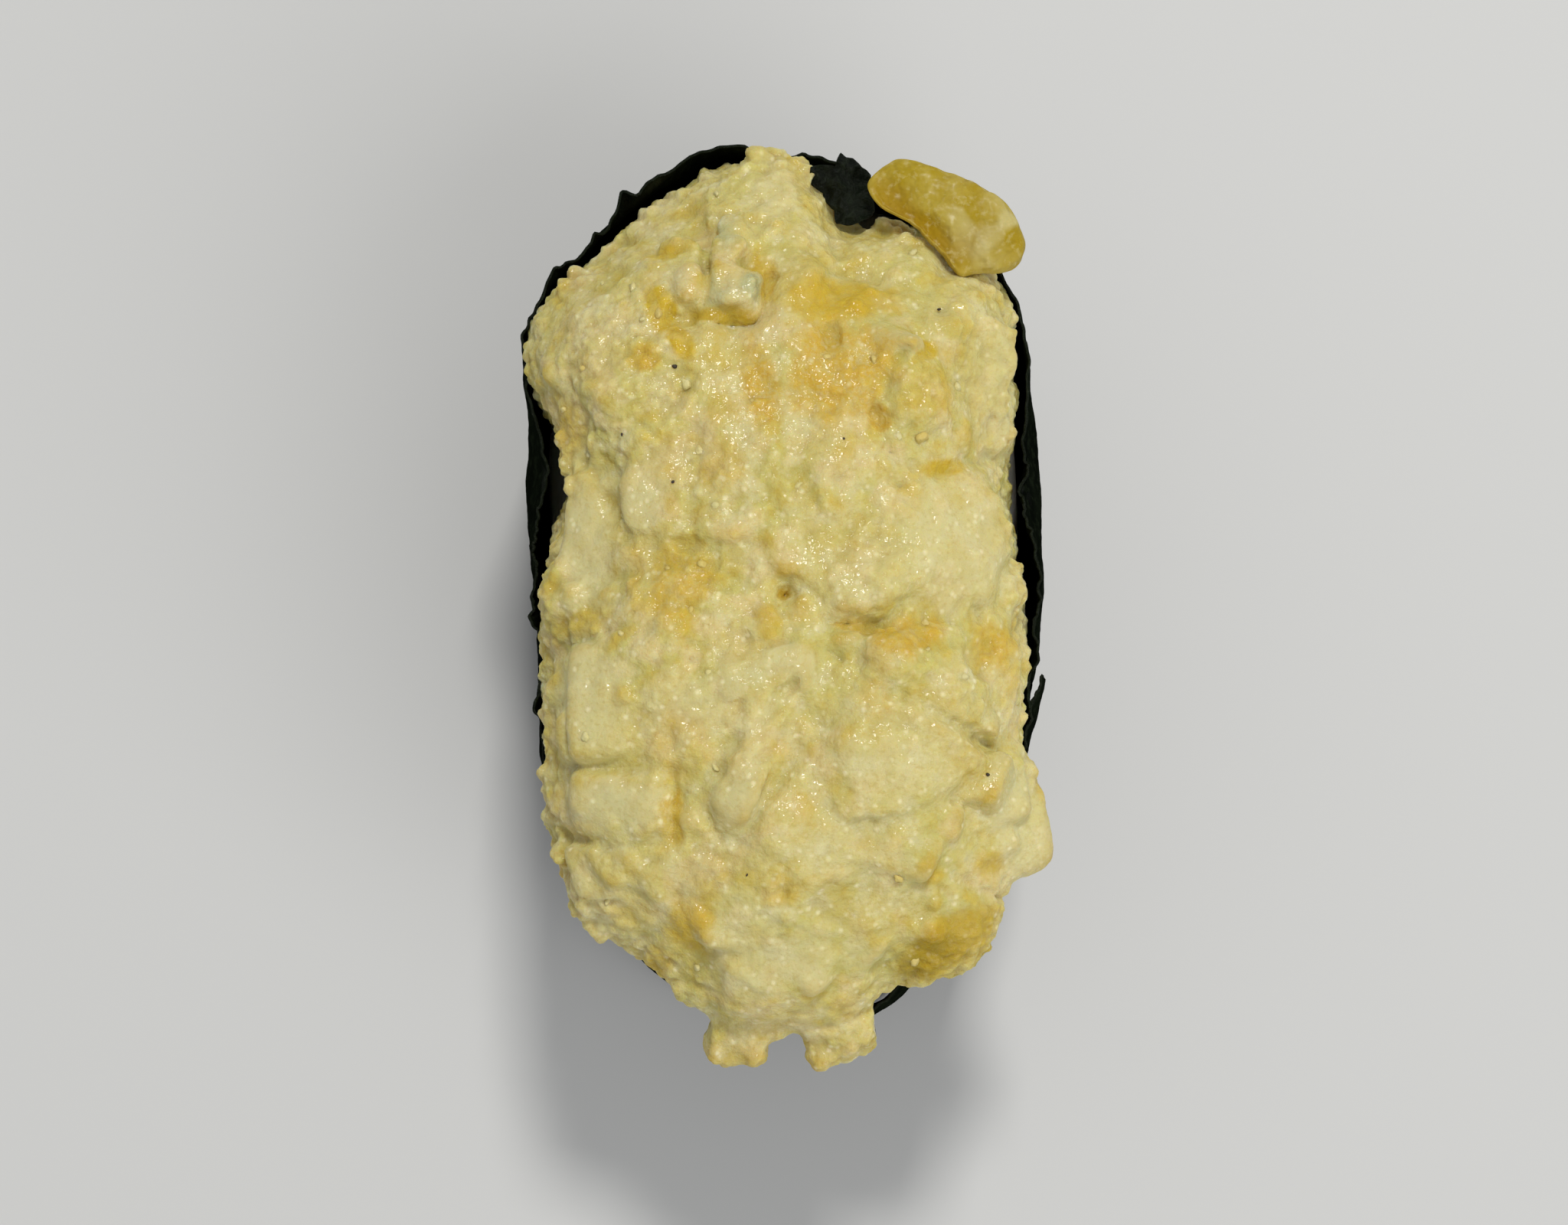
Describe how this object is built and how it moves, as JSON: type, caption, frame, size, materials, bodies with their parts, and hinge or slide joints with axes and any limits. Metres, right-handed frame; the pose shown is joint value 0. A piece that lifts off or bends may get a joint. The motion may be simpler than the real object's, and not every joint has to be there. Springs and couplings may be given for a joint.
{
  "type": "egg mayonnaise gunkan sushi",
  "caption": "Gunkan sushi: an oval block of pressed rice wrapped in a lapped strip of dried seaweed, heaped with chopped egg in mayonnaise, with a slice of firm yolk on one shoulder.",
  "frame": {"origin": "centre of the bounding box's underside, on the flat underside of the rice", "axes": "+Z up, +Y along the length towards the end where the slice of yolk lies, +X to the right seen from above with +Y up"},
  "size_m": [0.0314, 0.054, 0.037],
  "materials": {
    "rice": "moist, slightly translucent cooked grains",
    "seaweed": "damp black-green fibrous sheet",
    "egg_mayonnaise": "moist and creamy, with small bright highlights",
    "yolk_piece": "moist, slightly grainy"
  },
  "bodies": {
    "root": {"rice": "rice", "seaweed": "seaweed", "egg_mayonnaise": "egg_mayonnaise", "yolk_piece": "yolk_piece"}
  },
  "joints": []
}
